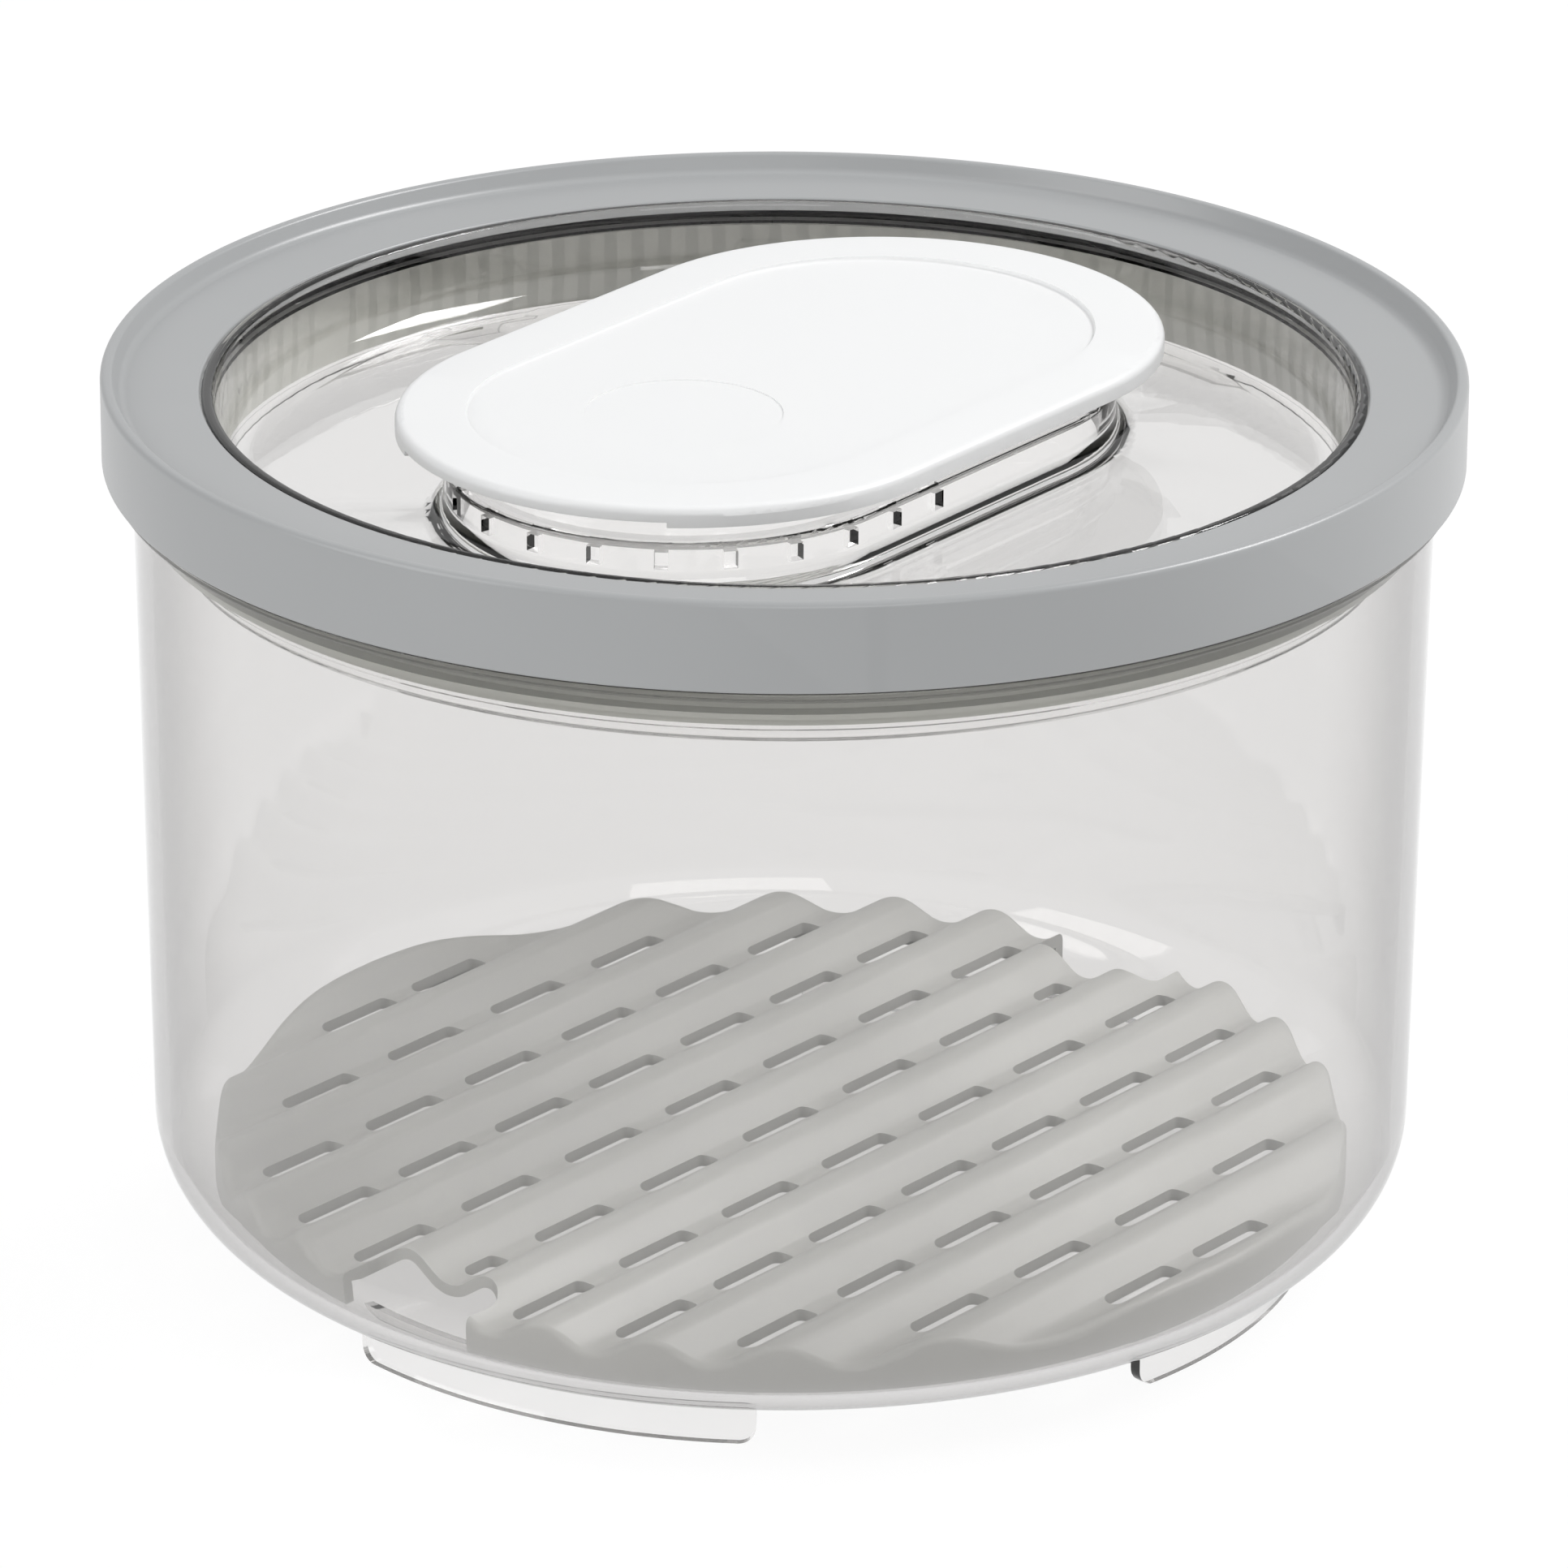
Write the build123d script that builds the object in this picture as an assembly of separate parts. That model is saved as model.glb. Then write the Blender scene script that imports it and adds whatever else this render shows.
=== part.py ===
from build123d import *
import math
import os

# Round produce bin: a clear tub with a loose draining tray, and a press-on lid with a flip-up vent cap.
# Millimetres. Z is up, Z = 0 is the underside of the feet, and the axis of the tub is X = Y = 0.
# The finger notch of the vent cap faces -Y, and its hinge is at +Y.

# Tub
tub_height = 147.8            # underside of the feet to the top of the rim
tub_radius = 109.1            # outside, at the rim
tub_wall = 2.4
tub_draft = 0.76              # degrees, narrowing downwards
corner_radius = 17.5          # outside bottom corner
rim_round = 0.8
collar_reach = 3.5            # how far the collar under the rim stands out of the wall
collar_thickness = 1.8
collar_round = 0.6

# Feet
foot_height = 7.2
foot_inset = 15.4             # from the tub's outside at the floor in to the feet
foot_wall = 2.2
foot_count = 4
foot_arc = 47.0               # degrees
foot_turn = 11.75             # degrees, from +X to the middle of the first foot
foot_corner = 3.0
floor_margin = 2.1            # from the inside of the feet in to the edge of the floor disc

# Draining tray
tray_margin = 7.4             # from the tub's inside at the floor in to the tray's edge
tray_height = 8.9             # lower edge to the ridge tops
tray_sheet = 2.0
tray_skirt = 2.0
tray_gap = 0.3                # between the tray's lower edge and the tub's corner
tray_turn = -2.0              # degrees, as the loose tray lies
ridge_pitch = 17.5
ridge_slope = 35.0            # degrees
ridge_round = 5.0             # top face, ridges and troughs alike
rim_soft = 1.5
slot_length = 18.0
slot_width = 4.0
slot_end_flat = 0.3           # the short straight part of each slot's round end
slot_pitch_limit = 27.3
slot_bridge = 5.0             # least length left between two slots
slot_margin = 7.5             # from the tray's edge to the outer end of the last slot
slots_per_trough = (7, 7, 7, 6, 4, 2)    # from the middle trough outwards
notch_width = 27.0
notch_depth = 12.0
notch_round = 5.0
notch_margin = 5.0            # from a finger notch to the nearest slot

# Lid ring
ring_gap = 2.7                # between the skirt and the tub wall
ring_width = 16.5             # across the crest and the flat face
ring_depth = 15.2             # crest to the lower edge of the skirt
ring_skirt = 2.2
ring_face = 2.1               # thickness of the flat face
ring_edge_round = 0.6
ring_inner_round = 0.4
crest_rise = 3.5              # crest above the inner edge of the face
crest_width = 1.9
crest_slope_width = 1.5
crest_outer_round = 1.1
crest_inner_round = 0.6
cove_round = 1.2
face_fall = 0.4               # the face falls this much towards the middle
snap_reach = 0.9
snap_height = 0.9
skirt_gap = 0.3               # between the skirt and the tub's collar
ring_fit = 0.15               # between the ring and the panel

# Lid panel
panel_flange = 2.3
panel_wall = 2.2
lip_width = 2.0               # the bead that shows inside the ring
lip_round = 0.8
dish_depth = 14.6             # lip to the dish floor
dish_narrowing = 1.2          # radius lost from the lip to the floor corner
dish_round = 6.0
plug_gap = 4.9                # between the plug and the tub wall at the rim
plug_wall = 2.4
plug_depth = 19.7             # below the flange
ledge_reach = 0.9             # ledge that holds the seal up
ledge_height = 1.2
ledge_above_plug_end = 2.4

# Lid seal
seal_height = 14.6
seal_core = 1.7
fin_count = 3
fin_thickness = 0.9
fin_gap = 0.3                 # between a fin and the tub wall

# Vent cap
cap_length = 149.6
cap_width = 95.2
cap_rise = 2.8                # top of the cap above the face of the ring
cap_plate = 2.3
cap_edge = 3.4                # whole height of the edge
cap_skirt = 1.8
cap_top_round = 1.5
panel_inset = 11.7            # recessed panel, in from the edge
panel_recess = 0.7
recess_round = 0.5
disc_radius = 16.5
disc_recess = 0.2
finger_half_angle = 35.0      # degrees, each side of the tip
finger_relief = 0.9
rib_wall = 1.6
rib_depth = 3.2
rib_gap = 0.4                 # between the rib and the mouth of the vent
rib_stop = 14.0               # the rib ends this far before the hinge

# Vent plinth in the dish
plinth_inset = 8.0            # in from the edge of the cap
plinth_height = 8.3           # dish floor to the ledge
plinth_wall = 2.0
plinth_round = 3.5            # at the foot of the plinth
ledge_round = 0.6
mouth_round = 0.5
ledge_width = 4.0
ledge_thickness = 1.5
mouth_wall = 2.0
mouth_gap = 1.6               # between the mouth wall and the plate of the cap
vent_slot_width = 2.3
vent_slot_height = 3.0
vent_slot_pitch = 11.4
vent_slots_per_side = 7       # on each side of the one at the tip

# Hinge
hinge_inset = 9.3             # from the end of the cap to the pin
hinge_drop = 3.3              # from the plate of the cap down to the pin
knuckle_radius = 2.3
knuckle_length = 15.2
ear_thickness = 3.0
ear_gap = 0.3
pin_radius = 1.2
pin_play = 0.05

# Sizes that follow from those above
draft_tan = math.tan(math.radians(tub_draft))
wall_across = tub_wall / math.cos(math.radians(tub_draft))
floor_top = foot_height + tub_wall
inner_corner = corner_radius - tub_wall
foot_radius = tub_radius - (tub_height - foot_height) * draft_tan - foot_inset
floor_radius = foot_radius - foot_wall - floor_margin
tray_radius = tub_radius - (tub_height - floor_top) * draft_tan - wall_across - tray_margin
ring_radius = tub_radius + ring_gap + ring_skirt
ring_inner_radius = ring_radius - ring_width
plug_radius = tub_radius - wall_across - plug_gap
lid_top = tub_height + panel_flange + ring_face + crest_rise
skirt_bottom = lid_top - ring_depth
collar_top = skirt_bottom - skirt_gap
face_edge_z = tub_height + panel_flange + ring_face
flange_top = tub_height + panel_flange
flange_radius = ring_radius - ring_skirt - ring_fit
lip_outer = ring_inner_radius - ring_fit
lip_inner = lip_outer - lip_width
dish_floor = face_edge_z - dish_depth
plug_end = tub_height - plug_depth
seal_bottom = plug_end + ledge_above_plug_end + ledge_height
cap_top = face_edge_z + cap_rise
plate_under = cap_top - cap_plate
ledge_top = dish_floor + plinth_height
mouth_top = plate_under - mouth_gap
mouth_inset = plinth_inset + ledge_width
rib_inset = mouth_inset + mouth_wall + rib_gap
end_centre = (cap_length - cap_width) / 2
hinge_y = cap_length / 2 - hinge_inset
hinge_z = plate_under - hinge_drop
overshoot = 1.0               # cutters run past the faces that they cut


def outer_radius(z):
    """Radius of the tub's outside wall at a height."""
    return tub_radius - (tub_height - z) * draft_tan


def inner_radius(z):
    """Radius of the tub's inside wall at a height."""
    return outer_radius(z) - wall_across


def underside_height(radius):
    """Height of the tub's underside at a radius, up the outside corner."""
    across = max(radius - outer_radius(foot_height) + corner_radius, 0)
    return foot_height + corner_radius - math.sqrt(corner_radius ** 2 - across ** 2)


def face_of(points):
    """Flat face in the XZ plane from (radius, height) points."""
    corners = [(r, 0, z) for r, z in points]
    return make_face(Polyline(*corners, close=True)).face()


def round_corners(face, rounds):
    """Round the corners of a profile that lie at the given points."""
    for (r, z), size in rounds:
        corner = min(face.vertices(), key=lambda v: math.hypot(v.X - r, v.Z - z))
        face = face.fillet_2d(size, [corner])
    return face


def turned(points, rounds=()):
    """Solid of revolution about the tub's axis."""
    return revolve(round_corners(face_of(points), rounds), Axis.Z, 360)


def stadium(inset):
    """Outline of the vent cap, long way along Y, drawn in by an inset."""
    return Rot(0, 0, 90) * SlotOverall(cap_length - 2 * inset, cap_width - 2 * inset)


def prism(sketch, low, high):
    """Upright prism of a sketch between two heights."""
    return Pos(0, 0, low) * extrude(sketch, high - low)


def circles_at(part, z, tolerance=0.01):
    """Round edges of a part that lie at one height."""
    return part.edges().filter_by(GeomType.CIRCLE).filter_by_position(Axis.Z, z - tolerance, z + tolerance)


# Tub: one moulding, in three kinds of node: the wall with its corner and collar, the flat floor, and the feet
def make_foot(angle, shell):
    root = underside_height(foot_radius) + tub_wall / 2
    section = face_of([
        (foot_radius - foot_wall, 0),
        (foot_radius, 0),
        (foot_radius, root),
        (foot_radius - foot_wall, root),
    ])
    foot = revolve(section, Axis.Z, foot_arc)
    lower_corners = [e for e in foot.edges() if e.length < foot_wall * 1.01 and abs(e.center().Z) < 0.01]
    foot = Rot(0, 0, angle - foot_arc / 2) * fillet(lower_corners, foot_corner)
    return foot - shell


def make_floor():
    return prism(Circle(floor_radius), foot_height, floor_top)


def make_shell():
    low_outer = outer_radius(foot_height)
    low_inner = inner_radius(floor_top)
    shell = turned(
        [(0, foot_height), (low_outer, foot_height), (tub_radius, tub_height), (0, tub_height)],
        [((low_outer, foot_height), corner_radius)],
    )
    hollow_top = tub_height + overshoot
    hollow = turned(
        [(0, floor_top), (low_inner, floor_top), (inner_radius(hollow_top), hollow_top), (0, hollow_top)],
        [((low_inner, floor_top), inner_corner)],
    )
    collar_low = collar_top - collar_thickness
    collar_inner = outer_radius(collar_low) - tub_wall / 2
    collar_outer = tub_radius + collar_reach
    collar = turned(
        [
            (collar_inner, collar_low),
            (collar_outer, collar_low),
            (collar_outer, collar_top),
            (collar_inner, collar_top),
        ],
        [((collar_outer, collar_low), collar_round), ((collar_outer, collar_top), collar_round)],
    )
    tub = shell - hollow
    tub = fillet(circles_at(tub, tub_height), rim_round)
    return tub + collar - prism(Circle(floor_radius), foot_height - overshoot, floor_top + overshoot)


# Tray: a corrugated disc with a skirt, slots in the troughs and two finger notches
def tray_bottom_height():
    """Height at which the skirt's lower edge clears the tub's inside corner by the gap."""
    centre_z = floor_top + inner_corner
    centre_r = inner_radius(centre_z) - inner_corner / math.cos(math.radians(tub_draft))
    across = max(tray_radius - centre_r, 0)
    return centre_z - math.sqrt((inner_corner - tray_gap) ** 2 - across ** 2)


def under_wave(middle, ridge_radius, trough_radius, bottom):
    """Block below a wave that runs across X, with a trough at X = 0."""
    slope = math.radians(ridge_slope)
    peak = ridge_pitch / 4 * math.tan(slope)
    halves = 2 * math.ceil(tray_radius / ridge_pitch) + 1
    points = []
    radii = []
    for step in range(-halves, halves + 1):
        is_ridge = step % 2 != 0
        points.append((step * ridge_pitch / 2, 0, middle + (peak if is_ridge else -peak)))
        radii.append(ridge_radius if is_ridge else trough_radius)
    wave = FilletPolyline(*points, radius=radii[1:-1])
    first = wave @ 0
    last = wave @ 1
    sides = Polyline(last, (last.X, 0, bottom), (first.X, 0, bottom), first)
    face = make_face(wave + sides)
    return extrude(face, tray_radius + overshoot, dir=(0, 1, 0), both=True)


def slot_reach(across):
    """How far along a trough its slots may reach."""
    limit = tray_radius - slot_margin
    return math.sqrt(max(limit ** 2 - across ** 2, 0))


def slot_spans(across, most):
    """Ends of the slots in one trough, spread evenly with the outer ends on one circle."""
    reach = slot_reach(across)
    room = (2 * reach + slot_bridge) // (slot_length + slot_bridge)
    count = min(most, int(room))
    pitch = min(slot_pitch_limit, (2 * reach - slot_length) / max(count - 1, 1))
    limit = tray_radius - notch_depth - notch_margin if across < notch_width / 2 else reach
    spans = []
    for row in range(count):
        middle = (row - (count - 1) / 2) * pitch
        low = max(middle - slot_length / 2, -limit)
        high = min(middle + slot_length / 2, limit)
        if high - low > slot_width:
            spans.append((low, high))
    return spans


def slot_cutters(tray_low, tray_top):
    """Slots along every trough."""
    cutters = []
    for index, most in enumerate(slots_per_trough):
        across = index * ridge_pitch
        for low, high in slot_spans(across, most):
            shape = RectangleRounded(slot_width, high - low, (slot_width - slot_end_flat) / 2)
            for side in ((1,) if index == 0 else (-1, 1)):
                place = Pos(side * across, (low + high) / 2, 0)
                cutters.append(place * prism(shape, tray_low, tray_top))
    return cutters


def notch_cutter(side, tray_low, tray_top):
    """Finger notch at one end of the ridges."""
    depth = notch_depth + overshoot
    shape = RectangleRounded(notch_width, 2 * depth, notch_round)
    return Pos(0, side * (tray_radius + overshoot), 0) * prism(shape, tray_low, tray_top)


def make_tray():
    low = tray_bottom_height()
    top = low + tray_height
    slope = math.radians(ridge_slope)
    peak = ridge_pitch / 4 * math.tan(slope)
    blunting = ridge_round * (1 / math.cos(slope) - 1)
    middle = top - peak + blunting
    under = middle - tray_sheet / math.cos(slope)
    outside = under_wave(middle, ridge_round, ridge_round, low)
    inside = under_wave(under, ridge_round - tray_sheet, ridge_round + tray_sheet, low - overshoot)
    disc = Pos(0, 0, low) * extrude(Circle(tray_radius), tray_height + overshoot)
    inner_disc = Pos(0, 0, low - overshoot) * extrude(Circle(tray_radius - tray_skirt), tray_height + overshoot)
    tray = (disc & outside) - (inner_disc & inside)
    rim = [e for e in tray.edges() if e.center().Z > low + tray_sheet and is_on_rim(e)]
    tray = fillet(rim, rim_soft)
    for side in (-1, 1):
        tray = tray - notch_cutter(side, low - overshoot, top + overshoot)
    tray = tray - slot_cutters(low - overshoot, top + overshoot)
    return Rot(0, 0, tray_turn) * tray


def is_on_rim(edge):
    """True where an edge runs round the outside of the tray."""
    spots = [edge @ t for t in (0, 0.5, 1)]
    return all(abs(math.hypot(p.X, p.Y) - tray_radius) < 0.01 for p in spots)


# Lid ring: flat face, raised crest, skirt and a snap bead under the panel's flange
def make_ring():
    skirt_inner = ring_radius - ring_skirt
    crest_inner = ring_radius - crest_width
    cove = crest_inner - crest_slope_width
    snap_top = tub_height - ring_fit
    points = [
        (skirt_inner, skirt_bottom),
        (ring_radius, skirt_bottom),
        (ring_radius, lid_top),
        (crest_inner, lid_top),
        (cove, face_edge_z + face_fall),
        (ring_inner_radius, face_edge_z),
        (ring_inner_radius, flange_top),
        (skirt_inner, flange_top),
        (skirt_inner, snap_top),
        (skirt_inner - snap_reach, snap_top - snap_height / 3),
        (skirt_inner - snap_reach, snap_top - snap_height / 2),
        (skirt_inner, snap_top - snap_height),
    ]
    rounds = [
        ((ring_radius, skirt_bottom), ring_edge_round),
        ((ring_radius, lid_top), crest_outer_round),
        ((crest_inner, lid_top), crest_inner_round),
        ((cove, face_edge_z + face_fall), cove_round),
        ((ring_inner_radius, face_edge_z), ring_inner_round),
    ]
    return turned(points, rounds)


# Lid panel: flange, dish, plug, vent plinth and hinge ears in one clear moulding
def make_dish():
    corner = lip_inner - dish_narrowing
    corner_outer = corner + panel_wall
    under = dish_floor - panel_wall
    points = [
        (0, dish_floor),
        (corner, dish_floor),
        (lip_inner, face_edge_z),
        (lip_outer, face_edge_z),
        (lip_outer, flange_top),
        (flange_radius, flange_top),
        (flange_radius, tub_height),
        (lip_outer, tub_height),
        (corner_outer, under),
        (0, under),
    ]
    rounds = [
        ((corner, dish_floor), dish_round),
        ((corner_outer, under), dish_round + panel_wall),
        ((lip_inner, face_edge_z), lip_round),
        ((lip_outer, face_edge_z), lip_round),
    ]
    return turned(points, rounds)


def make_plug():
    ledge_low = plug_end + ledge_above_plug_end
    inner = plug_radius - plug_wall
    points = [
        (inner, plug_end),
        (plug_radius, plug_end),
        (plug_radius, ledge_low),
        (plug_radius + ledge_reach, ledge_low),
        (plug_radius + ledge_reach, ledge_low + ledge_height),
        (plug_radius, ledge_low + ledge_height),
        (plug_radius, tub_height + panel_flange / 2),
        (inner, tub_height + panel_flange / 2),
    ]
    rounds = [
        ((inner, plug_end), plug_wall / 3),
        ((plug_radius, plug_end), plug_wall / 3),
    ]
    return turned(points, rounds)


def vent_slot_places():
    """Places and directions of the vent slots along the plinth, clear of the hinge end."""
    half_width = cap_width / 2 - plinth_inset
    half_round = half_width * math.pi / 2
    room = (half_round + 2 * end_centre) // vent_slot_pitch
    places = []
    for number in range(min(vent_slots_per_side, int(room)) + 1):
        along = number * vent_slot_pitch
        if along < half_round:
            angle = along / half_width
            x = half_width * math.sin(angle)
            y = -end_centre - half_width * math.cos(angle)
            turn = math.degrees(angle) - 90
        else:
            x = half_width
            y = -end_centre + along - half_round
            turn = 0
        places.append((x, y, turn))
        if number > 0:
            places.append((-x, y, 180 - turn))
    return places


def make_plinth():
    """Two-step plinth round the vent, with its mouth on top."""
    step = prism(stadium(plinth_inset), dish_floor - panel_wall, ledge_top)
    mouth = prism(stadium(mouth_inset), ledge_top - ledge_thickness, mouth_top)
    return fillet_tops(step, ledge_top, ledge_round) + fillet_tops(mouth, mouth_top, mouth_round)


def fillet_tops(part, z, size):
    """Round the edges round the top face of a prism."""
    top = part.edges().filter_by_position(Axis.Z, z - 0.01, z + 0.01)
    return fillet(top, size)


def make_ear(side):
    """Hinge ear that stands on the plinth, with the hole for the pin."""
    inner = knuckle_length / 2 + ear_gap
    centre = side * (inner + ear_thickness / 2)
    base_low = ledge_top - ledge_thickness
    barrel = Pos(centre, hinge_y, hinge_z) * Rot(0, 90, 0) * Cylinder(knuckle_radius, ear_thickness)
    stem_depth = 2 * knuckle_radius
    stem = Pos(centre, hinge_y, (base_low + hinge_z) / 2) * Box(ear_thickness, stem_depth, hinge_z - base_low)
    hole = Pos(centre, hinge_y, hinge_z) * Rot(0, 90, 0) * Cylinder(pin_radius, ear_thickness + 2 * overshoot)
    return barrel + stem - hole


def make_panel():
    panel = make_dish() + make_plug() + make_plinth()
    foot_edges = [e for e in panel.edges().filter_by_position(Axis.Z, dish_floor - 0.01, dish_floor + 0.01)
                  if is_on_stadium(e, plinth_inset)]
    panel = fillet(foot_edges, plinth_round)
    under = dish_floor - panel_wall
    panel = panel - prism(stadium(plinth_inset + plinth_wall), under - overshoot, ledge_top - ledge_thickness)
    panel = panel - prism(stadium(mouth_inset + mouth_wall), under, mouth_top + overshoot)
    slot_middle = ledge_top - ledge_thickness - vent_slot_height / 2
    for x, y, turn in vent_slot_places():
        cutter = Box(2 * plinth_wall, vent_slot_width, vent_slot_height)
        panel = panel - Pos(x, y, slot_middle) * Rot(0, 0, turn) * cutter
    return panel + make_ear(-1) + make_ear(1)


def is_on_stadium(edge, inset):
    """True where an edge lies on the outline of the cap drawn in by an inset."""
    spot = edge @ 0.5
    beyond = max(abs(spot.Y) - end_centre, 0)
    return abs(math.hypot(spot.X, beyond) - (cap_width / 2 - inset)) < 0.01


# Lid seal: a soft ring on the plug's ledge with fins towards the tub wall
def make_seal():
    seal = turned([
        (plug_radius, seal_bottom),
        (plug_radius + seal_core, seal_bottom),
        (plug_radius + seal_core, seal_bottom + seal_height),
        (plug_radius, seal_bottom + seal_height),
    ])
    for index in range(fin_count):
        low = seal_bottom + (index + 0.5) * seal_height / fin_count - fin_thickness / 2
        reach = inner_radius(low) - fin_gap
        seal = seal + turned([
            (plug_radius + seal_core / 2, low),
            (reach, low),
            (reach, low + fin_thickness),
            (plug_radius + seal_core / 2, low + fin_thickness),
        ])
    return seal


# Vent cap: plate with a recessed panel, skirt with a finger relief, locating rib and hinge knuckle
def make_cap():
    edge_low = cap_top - cap_edge
    cap = fillet_tops(prism(stadium(0), edge_low, cap_top), cap_top, cap_top_round)
    cap = cap - prism(stadium(cap_skirt), edge_low - overshoot, plate_under)
    panel_floor = cap_top - panel_recess
    recess = prism(stadium(panel_inset), panel_floor, cap_top + overshoot)
    recess_edge = recess.edges().filter_by_position(Axis.Z, panel_floor - 0.01, panel_floor + 0.01)
    cap = cap - fillet(recess_edge, recess_round)
    disc_floor = panel_floor - disc_recess
    cap = cap - Pos(0, -end_centre, 0) * prism(Circle(disc_radius), disc_floor, cap_top)
    cap = cap - finger_cutter(edge_low)
    cap = cap + make_rib()
    cap = cap + make_knuckle()
    return cap - Pos(0, hinge_y, hinge_z) * Rot(0, 90, 0) * Cylinder(pin_radius + pin_play, cap_width)


def finger_cutter(edge_low):
    """Wedge that shortens the skirt round the tip of the cap."""
    spread = math.radians(finger_half_angle)
    far = cap_length
    wedge = make_face(Polyline(
        (0, -end_centre),
        (-far * math.sin(spread), -end_centre - far * math.cos(spread)),
        (far * math.sin(spread), -end_centre - far * math.cos(spread)),
        close=True,
    ))
    ring = stadium(-overshoot) - stadium(cap_skirt + overshoot)
    return prism(ring & wedge, edge_low - overshoot, edge_low + finger_relief)


def make_rib():
    """Rib that locates the closed cap in the mouth of the vent, open towards the hinge."""
    outline = stadium(rib_inset) - stadium(rib_inset + rib_wall)
    rib = prism(outline, plate_under - rib_depth, plate_under + cap_plate / 3)
    rib_end = hinge_y - rib_stop
    return rib - Pos(0, rib_end + cap_length / 2, plate_under) * Box(cap_width, cap_length, 4 * rib_depth)


def make_knuckle():
    barrel = Pos(0, hinge_y, hinge_z) * Rot(0, 90, 0) * Cylinder(knuckle_radius, knuckle_length)
    stem_top = plate_under + cap_plate / 3
    stem = Box(knuckle_length, 2 * knuckle_radius, stem_top - hinge_z)
    return barrel + Pos(0, hinge_y, (hinge_z + stem_top) / 2) * stem


# Hinge pin, held in the two ears
def make_pin():
    length = knuckle_length + 2 * (ear_gap + ear_thickness)
    return Pos(0, hinge_y, hinge_z) * Rot(0, 90, 0) * Cylinder(pin_radius, length)


tub_shell = make_shell()
nodes = {
    "bin_body": tub_shell,
    "tub_floor": make_floor(),
    "strainer_tray": make_tray(),
    "lid_panel": make_panel(),
    "lid_ring": make_ring(),
    "lid_seal": make_seal(),
    "vent_cap": make_cap(),
    "hinge_pin": make_pin(),
}
for index in range(foot_count):
    nodes[f"foot_{index + 1}"] = make_foot(foot_turn + index * 360 / foot_count, tub_shell)

os.makedirs("parts", exist_ok=True)
for name, part in nodes.items():
    part.label = name
    export_step(part, f"parts/{name}.step")
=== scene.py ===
import bmesh
import bpy
import math
import numpy as np
from mathutils import Matrix, Vector


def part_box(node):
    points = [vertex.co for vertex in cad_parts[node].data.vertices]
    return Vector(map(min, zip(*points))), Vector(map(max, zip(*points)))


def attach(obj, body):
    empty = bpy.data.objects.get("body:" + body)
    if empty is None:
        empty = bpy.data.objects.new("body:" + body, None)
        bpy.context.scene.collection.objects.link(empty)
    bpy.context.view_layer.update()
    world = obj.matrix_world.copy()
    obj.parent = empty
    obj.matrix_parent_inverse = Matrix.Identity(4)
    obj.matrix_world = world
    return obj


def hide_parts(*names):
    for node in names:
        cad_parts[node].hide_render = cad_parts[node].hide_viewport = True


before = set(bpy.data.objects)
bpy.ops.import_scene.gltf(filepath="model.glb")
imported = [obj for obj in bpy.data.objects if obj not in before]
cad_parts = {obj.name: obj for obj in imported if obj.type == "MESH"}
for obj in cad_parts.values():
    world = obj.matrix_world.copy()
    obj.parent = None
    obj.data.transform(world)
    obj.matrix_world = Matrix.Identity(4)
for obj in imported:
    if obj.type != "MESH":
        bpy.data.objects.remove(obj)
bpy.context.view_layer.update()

# Lengths are in metres. Z is up, the tub's axis is X = Y = 0, and the cap's finger notch faces -Y.
MM = 0.001
SAME_PLACE = 0.001 * MM       # points closer than this are one point
TURNS = 360                   # steps round a turned piece
ARC_STEPS = 6                 # steps in the smallest rounding, with one more for each millimetre
FOOT_CORNER_STEPS = 8

# Edges sharper than these stay sharp, and corner normals closer than HEAL_ANGLE become one
TUB_SHARP = math.radians(30)
RING_SHARP = math.radians(40)
HEAL_ANGLE = math.radians(12)

# Tub, from the frame's rim height and the sizes of its section
TUB_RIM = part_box("bin_body")[1][2]
FOOT_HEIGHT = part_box("bin_body")[0][2]
TUB_RADIUS = 109.1 * MM
TUB_WALL = 2.4 * MM
TUB_DRAFT = math.radians(0.76)
TUB_CORNER = 17.5 * MM
RIM_ROUND = 0.8 * MM
COLLAR_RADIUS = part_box("bin_body")[1][0]
COLLAR_TOP = 140.2 * MM
COLLAR_THICKNESS = 1.8 * MM
COLLAR_ROUND = 0.6 * MM
COLLAR_ROOT = 0.4 * MM
FOOT_RADIUS = 91.8 * MM
FOOT_WALL = 2.2 * MM
FOOT_ARC = 47.0               # degrees
FOOT_TURN = 11.75             # degrees, from +X to the middle of the first foot
FOOT_CORNER = 3.0 * MM
FOOT_COUNT = 4

# Lid ring
RING_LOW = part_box("lid_ring")[0][2]
RING_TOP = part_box("lid_ring")[1][2]
RING_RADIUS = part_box("lid_ring")[1][0]
RING_WIDTH = 16.5 * MM
RING_INNER = RING_RADIUS - RING_WIDTH
RING_INNER_ROUND = 0.5 * MM
RING_FACE = 2.1 * MM
SKIRT_WALL = 2.2 * MM
SKIRT_INNER_ROUND = 0.3 * MM
SKIRT_OUTER_ROUND = 0.6 * MM
SKIRT_ROOT = 0.4 * MM
CREST_RISE = 3.5 * MM
CREST_WIDTH = 1.9 * MM
CREST_SLOPE = 1.5 * MM
CREST_OUTER_ROUND = 0.95 * MM
CREST_INNER_ROUND = 0.8 * MM
COVE_ROUND = 1.8 * MM
FACE_FALL = 0.4 * MM          # the face rises by this from the ring's opening to the cove

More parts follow.
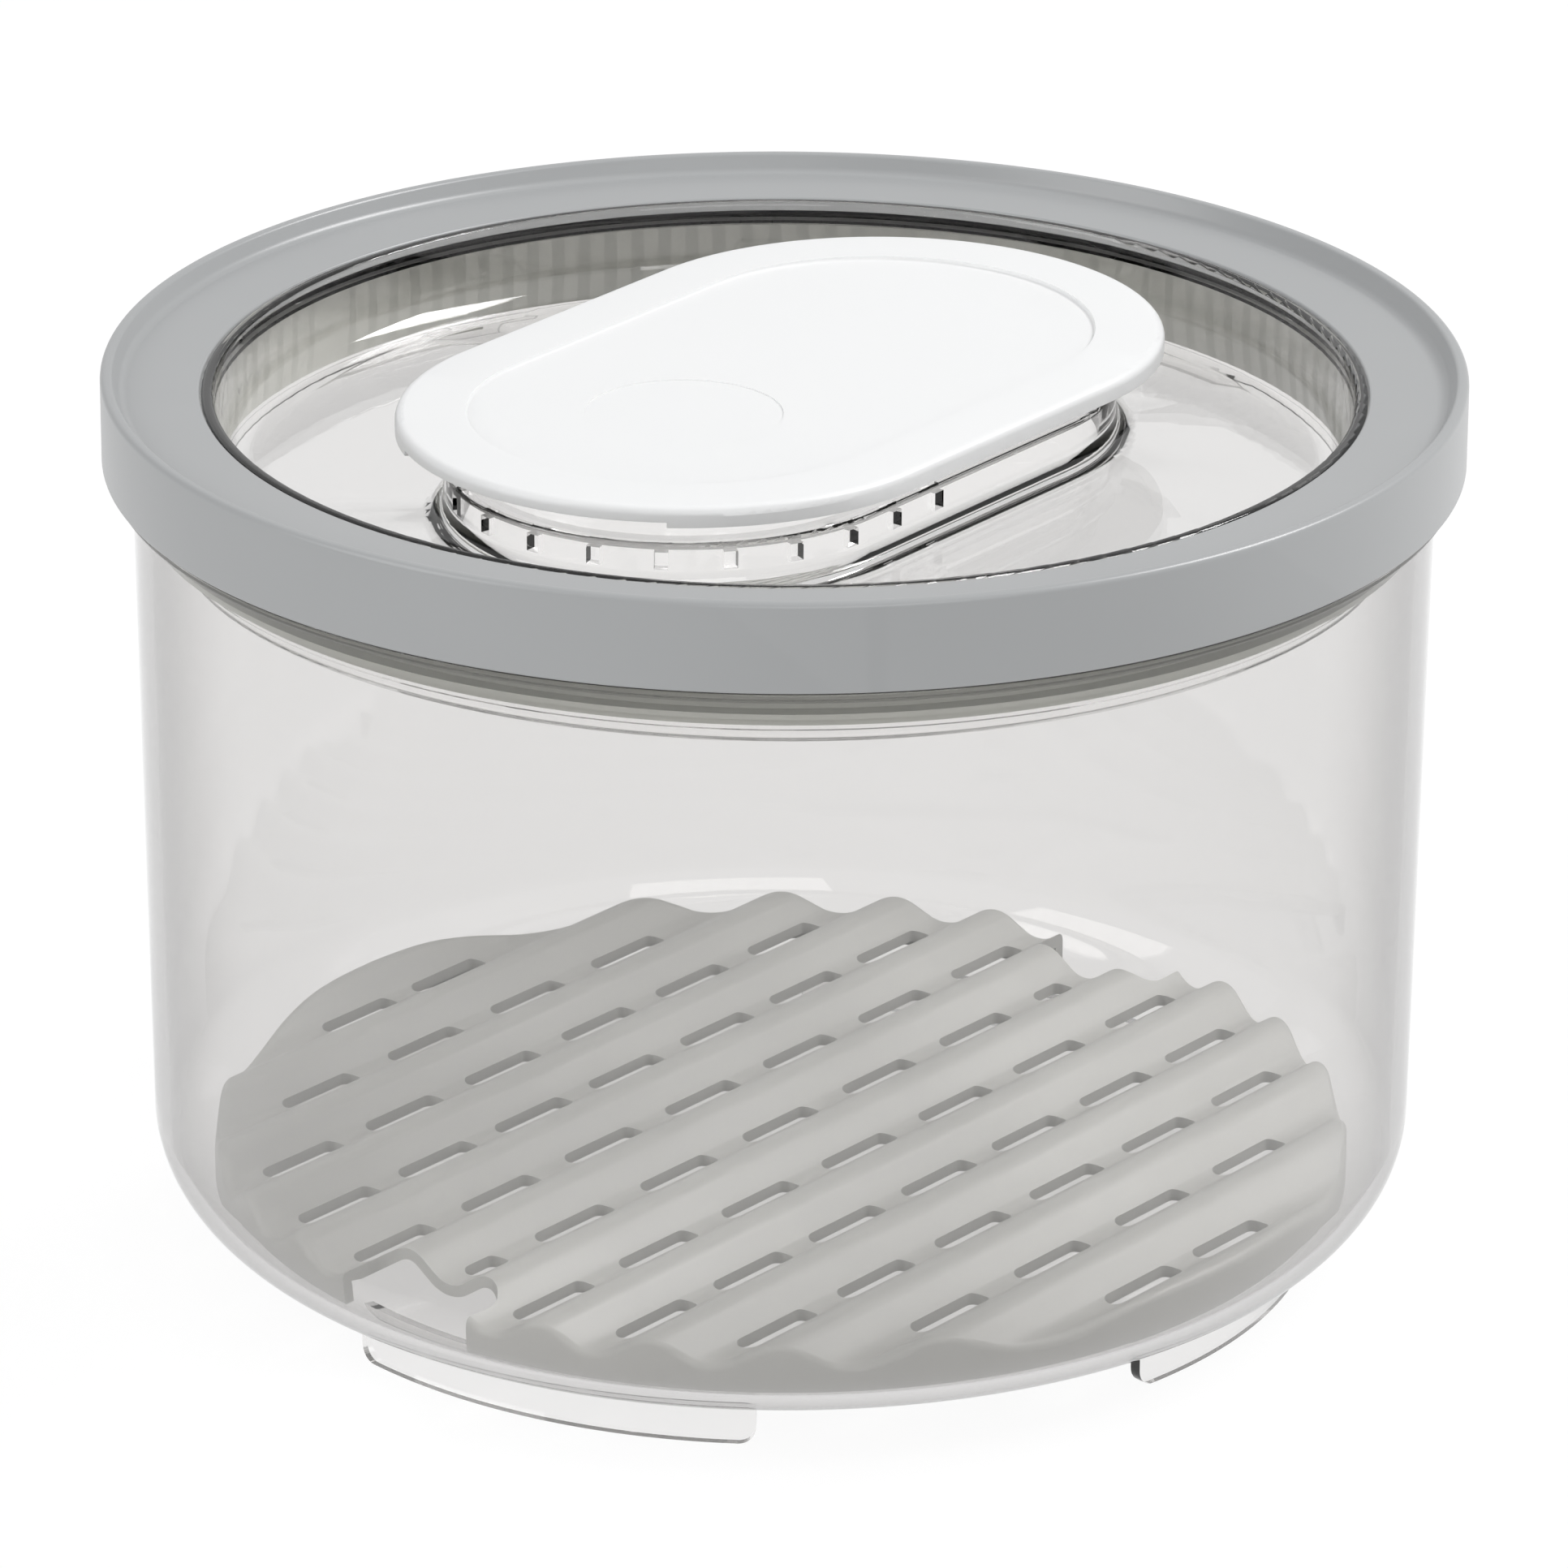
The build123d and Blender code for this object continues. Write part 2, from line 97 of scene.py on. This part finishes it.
# Materials
PLASTIC_IOR = 1.5
GLOW_DEPTH = 3 * MM           # how far light spreads inside a plastic that glows through
GRAIN_DEPTH = 0.04 * MM
GRAIN_DETAIL = 2.0
MOTTLE_SCALE = 40.0
GLOSS_SPREAD = 0.03           # roughness varies by this to both sides
PAINTED_LIMB_START = 0.5              # from this Facing value, clear plastic takes its painted limb shade, standing in for reflections of dark surroundings
PAINTED_LIMB_END = 0.9
WAVE_SCALE = 25.0             # slow waves in the moulded surface of clear plastic
WAVE_STRENGTH = 0.04
WAVE_DEPTH = 0.4 * MM
CLEAR_SPREAD = 0.02
SHADOW_TINT = 0.93            # light left after one wall, in shadows

# Stage
FLOOR_REACH = 6.0
FLOOR_DROP = 0.2 * MM
FLOOR_GREY = 0.85
WORLD_TINT = (0.95, 0.97, 1.0)
WORLD_STRENGTH = 0.38
WORLD_WHITE = 1.0             # what the camera, reflections and refraction see
LIGHT_TARGET = (0, 0, 0.1)
LIGHTS = (
    # name, place as seen from the camera (across, back, up), width and height, watts
    ("key", (1.0, 0.3, 1.3), (0.6, 0.6), 16),
    ("fill", (-1.2, -0.5, 1.0), (0.9, 1.2), 9),
    ("front", (0.3, -1.6, 0.8), (1.2, 0.8), 7),
)

# Camera, as fitted to the photograph
CAMERA_PLACE = (0.90158, -1.17072, 0.67316)
CAMERA_PITCH = 21.878         # degrees below level
CAMERA_HEADING = 37.59        # degrees, anticlockwise from +Y
CAMERA_ROLL = 0.30            # degrees
CAMERA_LENS = 215.27          # millimetres, on a sensor of 36
CAMERA_SENSOR = 36.0
CAMERA_REACH = 100


def new_material(name):
    """Material with nothing in it but an output, and what is needed to add to it."""
    material = bpy.data.materials.new(name)
    material.use_nodes = True
    nodes = material.node_tree.nodes
    nodes.clear()
    output = nodes.new("ShaderNodeOutputMaterial")
    return material, nodes, material.node_tree.links, output


def fine_bump(nodes, links, scale, strength, distance, detail):
    """Bump from a small noise in object space."""
    place = nodes.new("ShaderNodeTexCoord")
    noise = nodes.new("ShaderNodeTexNoise")
    noise.inputs["Scale"].default_value = scale
    noise.inputs["Detail"].default_value = detail
    bump = nodes.new("ShaderNodeBump")
    bump.inputs["Strength"].default_value = strength
    bump.inputs["Distance"].default_value = distance
    links.new(place.outputs["Object"], noise.inputs["Vector"])
    links.new(noise.outputs["Fac"], bump.inputs["Height"])
    return noise, bump


def vary_roughness(nodes, links, noise, shader, low, high):
    """Let a noise move the shader's roughness between two values."""
    spread = nodes.new("ShaderNodeMapRange")
    spread.inputs["To Min"].default_value = low
    spread.inputs["To Max"].default_value = high
    links.new(noise.outputs["Fac"], spread.inputs["Value"])
    links.new(spread.outputs["Result"], shader.inputs["Roughness"])


def mixed_colour(nodes, links, first, second, factor):
    """Output with a colour between two, by a factor socket."""
    mix = nodes.new("ShaderNodeMix")
    mix.data_type = "RGBA"
    mix.inputs["A"].default_value = (*first, 1)
    mix.inputs["B"].default_value = (*second, 1)
    links.new(factor, mix.inputs["Factor"])
    return mix.outputs["Result"]


def moulded(name, colour, roughness, grain_scale, grain_strength, mottle=0.02, glow_through=0.0):
    """Opaque moulded plastic: slight mottle in colour and roughness, and a fine grain."""
    material, nodes, links, output = new_material(name)
    shader = nodes.new("ShaderNodeBsdfPrincipled")
    shader.inputs["IOR"].default_value = PLASTIC_IOR
    shader.inputs["Subsurface Weight"].default_value = glow_through
    shader.inputs["Subsurface Radius"].default_value = (1, 1, 1)
    shader.inputs["Subsurface Scale"].default_value = GLOW_DEPTH
    noise, bump = fine_bump(nodes, links, grain_scale, grain_strength, GRAIN_DEPTH, GRAIN_DETAIL)
    broad = nodes.new("ShaderNodeTexNoise")
    broad.inputs["Scale"].default_value = MOTTLE_SCALE
    place = nodes.new("ShaderNodeTexCoord")
    links.new(place.outputs["Object"], broad.inputs["Vector"])
    dark = [channel * (1 - mottle) for channel in colour]
    light = [min(channel * (1 + mottle), 1) for channel in colour]
    tint = mixed_colour(nodes, links, dark, light, broad.outputs["Fac"])
    links.new(tint, shader.inputs["Base Color"])
    vary_roughness(nodes, links, noise, shader, roughness - GLOSS_SPREAD, roughness + GLOSS_SPREAD)
    links.new(bump.outputs["Normal"], shader.inputs["Normal"])
    links.new(shader.outputs["BSDF"], output.inputs["Surface"])
    return material


def clear(name, tint, painted_limb_shade, depth_colour, depth_density):
    """Clear moulded plastic with painted shade at its limbs, standing in for reflections of dark surroundings,
    and darker where light runs a long way inside it.
    """
    material, nodes, links, output = new_material(name)
    glass = nodes.new("ShaderNodeBsdfPrincipled")
    glass.inputs["Transmission Weight"].default_value = 1.0
    glass.inputs["IOR"].default_value = PLASTIC_IOR
    # Painted shade: Layer Weight facing darkens the base colour towards the limbs, standing in for reflections
    # of dark surroundings
    facing = nodes.new("ShaderNodeLayerWeight")
    facing.inputs["Blend"].default_value = 0.5
    painted_limb_mask = nodes.new("ShaderNodeMapRange")
    painted_limb_mask.interpolation_type = "SMOOTHSTEP"
    painted_limb_mask.inputs["From Min"].default_value = PAINTED_LIMB_START
    painted_limb_mask.inputs["From Max"].default_value = PAINTED_LIMB_END
    links.new(facing.outputs["Facing"], painted_limb_mask.inputs["Value"])
    shade = mixed_colour(nodes, links, tint, painted_limb_shade, painted_limb_mask.outputs["Result"])
    links.new(shade, glass.inputs["Base Color"])
    noise, bump = fine_bump(nodes, links, WAVE_SCALE, WAVE_STRENGTH, WAVE_DEPTH, 0.0)
    vary_roughness(nodes, links, noise, glass, 0.0, CLEAR_SPREAD)
    links.new(bump.outputs["Normal"], glass.inputs["Normal"])
    passing = nodes.new("ShaderNodeBsdfTransparent")
    passing.inputs["Color"].default_value = (SHADOW_TINT, SHADOW_TINT, SHADOW_TINT, 1)
    path = nodes.new("ShaderNodeLightPath")
    mix = nodes.new("ShaderNodeMixShader")
    links.new(path.outputs["Is Shadow Ray"], mix.inputs["Fac"])
    links.new(glass.outputs["BSDF"], mix.inputs[1])
    links.new(passing.outputs["BSDF"], mix.inputs[2])
    links.new(mix.outputs["Shader"], output.inputs["Surface"])
    depth = nodes.new("ShaderNodeVolumeAbsorption")
    depth.inputs["Color"].default_value = (*depth_colour, 1)
    depth.inputs["Density"].default_value = depth_density
    links.new(depth.outputs["Volume"], output.inputs["Volume"])
    return material


def rounded(corners):
    """Outline through (radius, height, rounding) corners, with each rounding as an arc."""
    outline = []
    for index, (radius, height, rounding) in enumerate(corners):
        corner = Vector((radius, height))
        if rounding == 0:
            outline.append(corner)
            continue
        before = (Vector(corners[index - 1][:2]) - corner).normalized()
        after = (Vector(corners[(index + 1) % len(corners)][:2]) - corner).normalized()
        half = before.angle(after) / 2
        centre = corner + (before + after).normalized() * (rounding / math.sin(half))
        start = corner + before * (rounding / math.tan(half)) - centre
        end = corner + after * (rounding / math.tan(half)) - centre
        first = math.atan2(start.y, start.x)
        sweep = (math.atan2(end.y, end.x) - first + math.pi) % math.tau - math.pi
        steps = ARC_STEPS + int(rounding / MM)
        for step in range(steps + 1):
            angle = first + sweep * step / steps
            outline.append(centre + rounding * Vector((math.cos(angle), math.sin(angle))))
    return outline


def mesh_object(name, points, faces):
    """Object with a closed mesh, its faces turned outwards."""
    mesh = bpy.data.meshes.new(name)
    mesh.from_pydata([tuple(point) for point in points], [], faces)
    cleaned = bmesh.new()
    cleaned.from_mesh(mesh)
    bmesh.ops.recalc_face_normals(cleaned, faces=cleaned.faces)
    cleaned.to_mesh(mesh)
    cleaned.free()
    piece = bpy.data.objects.new(name, mesh)
    bpy.context.scene.collection.objects.link(piece)
    return piece


def turned(name, outline, open_ended):
    """Piece turned about Z from an outline that starts and ends on the axis, or is closed on itself."""
    points = []
    rings = []
    for radius, height in outline:
        if radius < SAME_PLACE:
            rings.append([len(points)] * TURNS)
            points.append((0, 0, height))
            continue
        rings.append(list(range(len(points), len(points) + TURNS)))
        for turn in range(TURNS):
            angle = math.tau * turn / TURNS
            points.append((radius * math.cos(angle), radius * math.sin(angle), height))
    pairs = list(zip(rings, rings[1:]))
    if not open_ended:
        pairs.append((rings[-1], rings[0]))
    faces = []
    for low, high in pairs:
        for turn in range(TURNS):
            after = (turn + 1) % TURNS
            corners = [low[turn], low[after], high[after], high[turn]]
            faces.append(list(dict.fromkeys(corners)))
    return mesh_object(name, points, faces)


def smooth_with_edges(piece, angle):
    """Smooth shading that keeps the edges sharper than an angle."""
    mesh = piece.data
    shaped = bmesh.new()
    shaped.from_mesh(mesh)
    for face in shaped.faces:
        face.smooth = True
    for edge in shaped.edges:
        edge.smooth = edge.calc_face_angle(0) < angle
    shaped.to_mesh(mesh)
    shaped.free()


def outer_radius(height):
    """Radius of the tub's drafted outside at a height."""
    return TUB_RADIUS - (TUB_RIM - height) * math.tan(TUB_DRAFT)


def foot(middle):
    """One curved foot, with its lower corners rounded, up into the floor of the tub."""
    arc = math.radians(FOOT_ARC)
    first = math.radians(middle) - arc / 2
    corner_stations = []
    for step in range(FOOT_CORNER_STEPS + 1):
        turn = math.pi / 2 * step / FOOT_CORNER_STEPS
        corner_stations.append((FOOT_CORNER * (1 - math.cos(turn)), FOOT_CORNER * (1 - math.sin(turn))))
    length = FOOT_RADIUS * arc
    stations = list(corner_stations)
    middle_count = int(FOOT_ARC)
    for step in range(1, middle_count):
        along = FOOT_CORNER + (length - 2 * FOOT_CORNER) * step / middle_count
        stations.append((along, 0))
    stations += [(length - along, low) for along, low in reversed(corner_stations)]
    points = []
    top = FOOT_HEIGHT + TUB_WALL / 2
    for along, low in stations:
        angle = first + along / FOOT_RADIUS
        across = (math.cos(angle), math.sin(angle))
        section = [
            (FOOT_RADIUS - FOOT_WALL, low),
            (FOOT_RADIUS, low),
            (FOOT_RADIUS, top),
            (FOOT_RADIUS - FOOT_WALL, top),
        ]
        points += [(radius * across[0], radius * across[1], height) for radius, height in section]
    faces = [(0, 1, 2, 3), tuple(len(points) - 4 + corner for corner in range(4))]
    for station in range(len(stations) - 1):
        base = 4 * station
        for corner in range(4):
            after = (corner + 1) % 4
            faces.append((base + corner, base + after, base + 4 + after, base + 4 + corner))
    return mesh_object("foot", points, faces)


def union(piece, others):
    """Join the others to the piece, as one closed mesh."""
    for other in others:
        joining = piece.modifiers.new("join", "BOOLEAN")
        joining.operation = "UNION"
        joining.solver = "EXACT"
        joining.object = other
    bpy.context.view_layer.update()
    whole = piece.evaluated_get(bpy.context.evaluated_depsgraph_get())
    mesh = bpy.data.meshes.new_from_object(whole)
    piece.modifiers.clear()
    piece.data = mesh
    for other in others:
        bpy.data.objects.remove(other)


def make_tub():
    """The whole clear moulding: wall, floor, collar and feet."""
    floor = FOOT_HEIGHT + TUB_WALL
    across = TUB_WALL / math.cos(TUB_DRAFT)
    collar_low = COLLAR_TOP - COLLAR_THICKNESS
    outline = rounded([
        (0, FOOT_HEIGHT, 0),
        (outer_radius(FOOT_HEIGHT), FOOT_HEIGHT, TUB_CORNER),
        (outer_radius(collar_low), collar_low, COLLAR_ROOT),
        (COLLAR_RADIUS, collar_low, COLLAR_ROUND),
        (COLLAR_RADIUS, COLLAR_TOP, COLLAR_ROUND),
        (outer_radius(COLLAR_TOP), COLLAR_TOP, COLLAR_ROOT),
        (TUB_RADIUS, TUB_RIM, RIM_ROUND),
        (TUB_RADIUS - across, TUB_RIM, RIM_ROUND),
        (outer_radius(floor) - across, floor, TUB_CORNER - TUB_WALL),
        (0, floor, 0),
    ])
    tub = turned("tub", outline, True)
    union(tub, [foot(FOOT_TURN + 360 * index / FOOT_COUNT) for index in range(FOOT_COUNT)])
    smooth_with_edges(tub, TUB_SHARP)
    return tub


def make_ring():
    """The grey rim of the lid: crest, cove, flat face and skirt."""
    skirt_inner = RING_RADIUS - SKIRT_WALL
    crest_inner = RING_RADIUS - CREST_WIDTH
    face = RING_TOP - CREST_RISE
    under = face - RING_FACE
    outline = rounded([
        (skirt_inner, RING_LOW, SKIRT_INNER_ROUND),
        (RING_RADIUS, RING_LOW, SKIRT_OUTER_ROUND),
        (RING_RADIUS, RING_TOP, CREST_OUTER_ROUND),
        (crest_inner, RING_TOP, CREST_INNER_ROUND),
        (crest_inner - CREST_SLOPE, face + FACE_FALL, COVE_ROUND),
        (RING_INNER, face, RING_INNER_ROUND),
        (RING_INNER, under, 0),
        (skirt_inner, under, SKIRT_ROOT),
    ])
    ring = turned("ring", outline, False)
    smooth_with_edges(ring, RING_SHARP)
    return ring


def heal_normals(mesh, angle):
    """Give corners that meet at one point, at less than an angle, the same normal."""
    count = len(mesh.loops)
    owners = np.empty(count, int)
    mesh.loops.foreach_get("vertex_index", owners)
    places = np.empty(len(mesh.vertices) * 3)
    mesh.vertices.foreach_get("co", places)
    places = np.round(places.reshape(-1, 3) / SAME_PLACE).astype(int)
    normals = np.array([tuple(corner.vector) for corner in mesh.corner_normals])
    groups = {}
    for corner in range(count):
        groups.setdefault(tuple(places[owners[corner]]), []).append(corner)
    healed = normals.copy()
    limit = math.cos(angle)
    for corners in groups.values():
        near = normals[corners]
        alike = near @ near.T > limit
        means = alike @ near
        healed[corners] = means / np.linalg.norm(means, axis=1, keepdims=True)
    mesh.normals_split_custom_set(healed.tolist())


CLEAR = clear(
    "clear_tub",
    tint=(0.985, 0.98, 0.975),
    # the dark limb colour is painted shade on the tub's limbs, standing in for reflections of dark
    # surroundings
    painted_limb_shade=(0.42, 0.41, 0.41),
    depth_colour=(0.5, 0.49, 0.485),
    depth_density=105.0,
)
CLEAR_LID = clear(
    "clear_lid",
    tint=(0.985, 0.98, 0.975),
    # a lighter painted shade on the lid's limbs, standing in for reflections of dark surroundings
    painted_limb_shade=(0.9, 0.9, 0.9),
    depth_colour=(0.5, 0.49, 0.485),
    depth_density=25.0,
)
RING = moulded(
    "ring_satin",
    colour=(0.372, 0.378, 0.380),
    roughness=0.3,
    grain_scale=2500.0,
    grain_strength=0.12,
)
CAP = moulded(
    "cap_white",
    colour=(0.85, 0.85, 0.845),
    roughness=0.33,
    grain_scale=2500.0,
    grain_strength=0.06,
    mottle=0.005,
    glow_through=0.3,
)
TRAY = moulded(
    "tray_matte",
    colour=(0.44, 0.44, 0.425),
    roughness=0.42,
    grain_scale=1800.0,
    grain_strength=0.1,
)
SEAL = moulded(
    "seal_soft",
    colour=(0.52, 0.525, 0.48),
    roughness=0.5,
    grain_scale=900.0,
    grain_strength=0.1,
)
PIN = moulded(
    "pin_plain",
    colour=(0.8, 0.8, 0.8),
    roughness=0.3,
    grain_scale=900.0,
    grain_strength=0.05,
)

NODE_MATERIALS = {
    "lid_panel": CLEAR_LID,
    "strainer_tray": TRAY,
    "vent_cap": CAP,
    "lid_seal": SEAL,
    "hinge_pin": PIN,
}
for node_name, material in NODE_MATERIALS.items():
    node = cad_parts[node_name]
    node.data.materials.clear()
    node.data.materials.append(material)
    heal_normals(node.data, HEAL_ANGLE)

tub = make_tub()
tub.data.materials.clear()
tub.data.materials.append(CLEAR)
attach(tub, "tub")
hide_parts("bin_body", "tub_floor", *[f"foot_{index + 1}" for index in range(FOOT_COUNT)])

ring = make_ring()
ring.data.materials.append(RING)
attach(ring, "lid")
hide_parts("lid_ring")


def worked_out(nodes, links, operation, first, second):
    """Output of a Math node on a socket and another socket or a number."""
    node = nodes.new("ShaderNodeMath")
    node.operation = operation
    links.new(first, node.inputs[0])
    if isinstance(second, float):
        node.inputs[1].default_value = second
    else:
        links.new(second, node.inputs[1])
    return node.outputs["Value"]


def seen_directly(nodes, links, path):
    """Output that is 1 for rays of the camera, of reflection and of refraction, and 0 for the rest."""
    bent = worked_out(
        nodes, links, "MAXIMUM", path.outputs["Is Glossy Ray"], path.outputs["Is Transmission Ray"]
    )
    return worked_out(nodes, links, "MAXIMUM", path.outputs["Is Camera Ray"], bent)


def white_for_views(nodes, links, plain, strength, share, diffuse_share):
    """Mix a shader with plain white for the rays that show the background, and less of it for soft light."""
    path = nodes.new("ShaderNodeLightPath")
    seen = worked_out(nodes, links, "MULTIPLY", seen_directly(nodes, links, path), share)
    soft = worked_out(nodes, links, "MULTIPLY", path.outputs["Is Diffuse Ray"], diffuse_share)
    mix = nodes.new("ShaderNodeMixShader")
    links.new(worked_out(nodes, links, "MAXIMUM", seen, soft), mix.inputs["Fac"])
    links.new(plain, mix.inputs[1])
    white = nodes.new("ShaderNodeEmission")
    white.inputs["Strength"].default_value = strength
    links.new(white.outputs["Emission"], mix.inputs[2])
    return mix.outputs["Shader"]


def make_floor():
    """White floor just under the feet, as part of the stage."""
    mesh = bpy.data.meshes.new("floor")
    signs = ((-1, -1), (1, -1), (1, 1), (-1, 1))
    corners = [(x * FLOOR_REACH, y * FLOOR_REACH, 0) for x, y in signs]
    mesh.from_pydata(corners, [], [(0, 1, 2, 3)])
    floor = bpy.data.objects.new("floor", mesh)
    bpy.context.scene.collection.objects.link(floor)
    floor.location.z = -FLOOR_DROP
    material, nodes, links, output = new_material("floor_white")
    matte = nodes.new("ShaderNodeBsdfDiffuse")
    matte.inputs["Color"].default_value = (FLOOR_GREY, FLOOR_GREY, FLOOR_GREY, 1)
    surface = white_for_views(nodes, links, matte.outputs["BSDF"], strength=1.04, share=0.9, diffuse_share=0.5)
    links.new(surface, output.inputs["Surface"])
    mesh.materials.append(material)


def make_world():
    """White surroundings to look at, and softer ones to light the object."""
    world = bpy.data.worlds.new("studio")
    bpy.context.scene.world = world
    world.use_nodes = True
    nodes = world.node_tree.nodes
    links = world.node_tree.links
    nodes.clear()
    output = nodes.new("ShaderNodeOutputWorld")
    soft = nodes.new("ShaderNodeBackground")
    soft.inputs["Color"].default_value = (*WORLD_TINT, 1)
    soft.inputs["Strength"].default_value = WORLD_STRENGTH
    white = nodes.new("ShaderNodeBackground")
    white.inputs["Strength"].default_value = WORLD_WHITE
    path = nodes.new("ShaderNodeLightPath")
    mix = nodes.new("ShaderNodeMixShader")
    links.new(seen_directly(nodes, links, path), mix.inputs["Fac"])
    links.new(soft.outputs["Background"], mix.inputs[1])
    links.new(white.outputs["Background"], mix.inputs[2])
    links.new(mix.outputs["Shader"], output.inputs["Surface"])


def seen_from_camera(across, back, up):
    """Point given across, away from and above the object as the camera sees it."""
    turn = Matrix.Rotation(math.radians(CAMERA_HEADING), 3, "Z")
    return turn @ Vector((across, back, up))


def area_light(name, place, target, size, power):
    """Rectangular light at a place, aimed at a target."""
    data = bpy.data.lights.new(name, "AREA")
    data.shape = "RECTANGLE"
    data.size, data.size_y = size
    data.energy = power
    light = bpy.data.objects.new(name, data)
    bpy.context.scene.collection.objects.link(light)
    light.location = place
    aim = Vector(target) - Vector(place)
    light.rotation_euler = aim.to_track_quat("-Z", "Y").to_euler()


def make_lights():
    """Key, fill and front lights, all aimed at the middle of the object."""
    for name, place, size, power in LIGHTS:
        area_light(name, seen_from_camera(*place), LIGHT_TARGET, size, power)


def make_camera():
    """Camera with the photograph's view."""
    data = bpy.data.cameras.new("camera")
    data.sensor_fit = "HORIZONTAL"
    data.sensor_width = CAMERA_SENSOR
    data.lens = CAMERA_LENS
    data.clip_end = CAMERA_REACH
    camera = bpy.data.objects.new("camera", data)
    bpy.context.scene.collection.objects.link(camera)
    heading = Matrix.Rotation(math.radians(CAMERA_HEADING), 4, "Z")
    tilt = Matrix.Rotation(math.radians(90 - CAMERA_PITCH), 4, "X")
    roll = Matrix.Rotation(math.radians(CAMERA_ROLL), 4, "Z")
    camera.matrix_world = Matrix.Translation(CAMERA_PLACE) @ heading @ tilt @ roll
    bpy.context.scene.camera = camera


make_floor()
make_world()
make_lights()
make_camera()
bpy.context.scene.view_settings.view_transform = "Standard"
